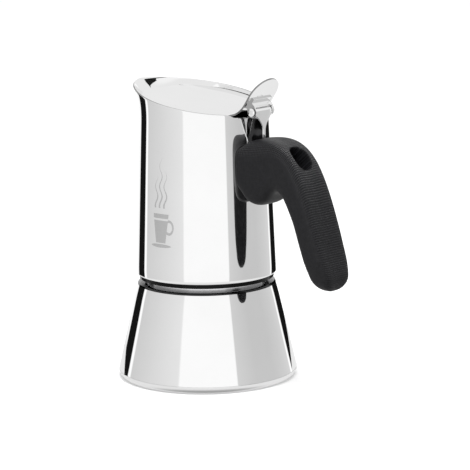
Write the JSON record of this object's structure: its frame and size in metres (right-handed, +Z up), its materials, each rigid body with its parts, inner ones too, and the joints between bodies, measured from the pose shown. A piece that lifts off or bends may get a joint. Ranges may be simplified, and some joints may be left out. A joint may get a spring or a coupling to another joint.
{
  "type": "moka pot",
  "caption": "Stovetop coffee maker: a conical steel boiler, a tapered upper vessel with a spout, a hinged lid with a thumb tab and a curved black handle.",
  "frame": {"origin": "centre of the base's underside, on the surface it stands on", "axes": "+Z up the pot's axis, +X towards the handle, -X towards the spout, the XZ plane is the mirror plane"},
  "size_m": [0.1173, 0.08, 0.1368],
  "materials": {
    "polished_steel": "mirror-polished stainless steel",
    "turned_steel": "satin turned stainless steel",
    "filter_steel": "satin perforated sheet",
    "spring_steel": "bright spring steel",
    "screw_steel": "plated screw steel",
    "aluminium": "plain aluminium",
    "brass": "turned brass",
    "gasket_rubber": "white silicone",
    "valve_rubber": "red fibre washer",
    "handle_plastic": "matte black with a fine cross-hatch"
  },
  "bodies": {
    "boiler": {"base_cap": "polished_steel", "base_core": "aluminium", "boiler_shell": "polished_steel", "boiler_neck": "turned_steel", "valve_body": "brass", "valve_nut": "brass", "valve_washer": "valve_rubber", "valve_spring": "spring_steel", "valve_cap": "brass"},
    "valve": {"valve_ball": "spring_steel"},
    "funnel": {"funnel": "turned_steel", "funnel_filter": "filter_steel"},
    "gasket": {"gasket": "gasket_rubber"},
    "filter": {"filter_plate": "filter_steel"},
    "vessel": {"vessel_shell": "polished_steel", "threaded_collar": "turned_steel", "vessel_floor": "turned_steel", "riser_column": "turned_steel", "column_cap": "turned_steel", "hinge_bracket": "polished_steel", "handle_grip": "handle_plastic", "handle_screw": "screw_steel", "handle_washer": "screw_steel"},
    "lid": {"lid_plate": "polished_steel", "lid_leaf": "polished_steel", "hinge_pin": "polished_steel"}
  },
  "joints": [
    {"name": "valve_lift", "type": "slide", "parent": "boiler", "child": "valve", "axis": [-0.9751, 0, 0.2217], "range_m": [0, 0.0012], "stiffness_N_per_m": 800, "springref_m": -0.002, "deforming": ["valve_spring"]},
    {"name": "funnel_lift", "type": "slide", "parent": "boiler", "child": "funnel", "axis": [0, 0, 1], "range_m": [0, 0.075]},
    {"name": "vessel_lift", "type": "slide", "parent": "boiler", "child": "gasket", "axis": [0, 0, 1], "range_m": [0, 0.15]},
    {"name": "vessel_rise", "type": "slide", "parent": "gasket", "child": "filter", "axis": [0, 0, 1], "range_m": [0, 0.0062]},
    {"name": "vessel_turn", "type": "hinge", "parent": "filter", "child": "vessel", "pos_m": [0, 0, 0.05], "axis": [0, 0, 1], "range_deg": [0, 720]},
    {"name": "lid_hinge", "type": "hinge", "parent": "vessel", "child": "lid", "pos_m": [0.0336, 0, 0.1221], "axis": [0, 1, 0], "range_deg": [0, 100]}
  ],
  "couplings": [
    {"joint": "funnel_lift", "follows": "vessel_lift", "ratio": 0.5},
    {"joint": "vessel_rise", "follows": "vessel_turn", "m_per_rad": 0.00047746}
  ]
}
